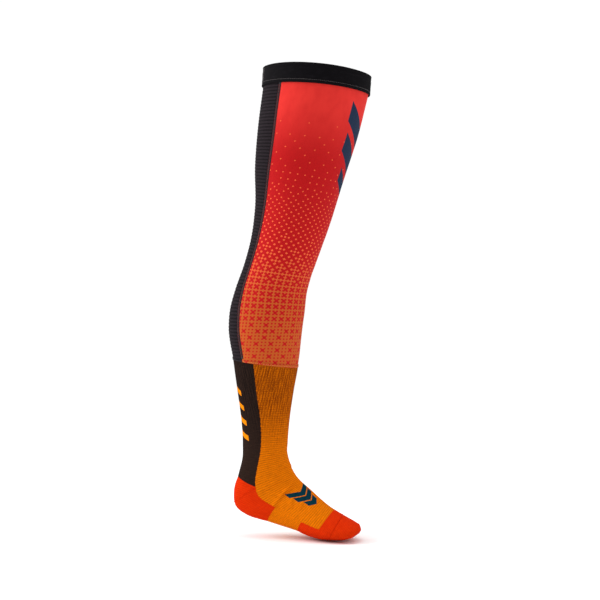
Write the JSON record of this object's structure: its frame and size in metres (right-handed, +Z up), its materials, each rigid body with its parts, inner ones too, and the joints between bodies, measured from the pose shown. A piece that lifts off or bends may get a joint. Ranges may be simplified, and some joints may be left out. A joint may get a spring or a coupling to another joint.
{
  "type": "over-the-knee brace sock",
  "caption": "Over-the-knee sock worn under a knee brace: elastic thigh cuff, stretch sleeve with flatlock seams, knitted shin and foot, bending at knee and ankle.",
  "frame": {"origin": "centre of the thigh cuff's bore", "axes": "+Z up along the standing leg, +X towards the toes, -Y to the outer side of a right leg"},
  "size_m": [0.2509, 0.1904, 0.8189],
  "materials": {
    "cuff_elastic": "woven",
    "gripper_silicone": "matte",
    "printed_stretch": "printed",
    "ribbed_stretch": "ribbed",
    "seam_thread": "flatlock thread",
    "orange_knit": "knitted",
    "dark_knit": "ribbed knit",
    "red_knit": "terry knit"
  },
  "bodies": {
    "thigh": {"gripper_tape": "gripper_silicone", "cuff_band": "cuff_elastic", "cuff_join_seam": "cuff_elastic", "cuff_stitching": "seam_thread", "front_panel_thigh": "printed_stretch", "back_panel_thigh": "ribbed_stretch", "seam_outer_thigh": "seam_thread", "seam_inner_thigh": "seam_thread", "front_panel_knee": "printed_stretch", "back_panel_knee": "ribbed_stretch", "seam_outer_knee": "seam_thread", "seam_inner_knee": "seam_thread"},
    "shank": {"front_panel_calf": "printed_stretch", "back_panel_calf": "ribbed_stretch", "seam_outer_calf": "seam_thread", "seam_inner_calf": "seam_thread", "hem_seam": "seam_thread", "shin_knit": "orange_knit", "calf_knit": "dark_knit", "ankle_front_knit": "orange_knit", "ankle_back_knit": "dark_knit"},
    "foot": {"heel_upper": "red_knit", "heel_gore_seam": "red_knit", "heel_lower": "red_knit", "arch_band": "orange_knit", "ball_pad": "red_knit", "instep_knit": "orange_knit", "toe_band": "orange_knit", "toe_seam": "red_knit", "toe_cap": "red_knit"}
  },
  "joints": [
    {"name": "knee_flex", "type": "hinge", "parent": "thigh", "child": "shank", "pos_m": [-0.06144, 0, -0.31608], "axis": [0, 1, 0], "range_deg": [-5, 80], "stiffness_Nm_per_rad": 1.5, "deforming": ["front_panel_knee", "back_panel_knee", "seam_outer_knee", "seam_inner_knee"]},
    {"name": "ankle_flex", "type": "hinge", "parent": "shank", "child": "foot", "pos_m": [-0.09211, 0, -0.67377], "axis": [0, 1, 0], "range_deg": [-25, 25], "stiffness_Nm_per_rad": 0.6, "deforming": ["ankle_front_knit", "ankle_back_knit"]}
  ]
}
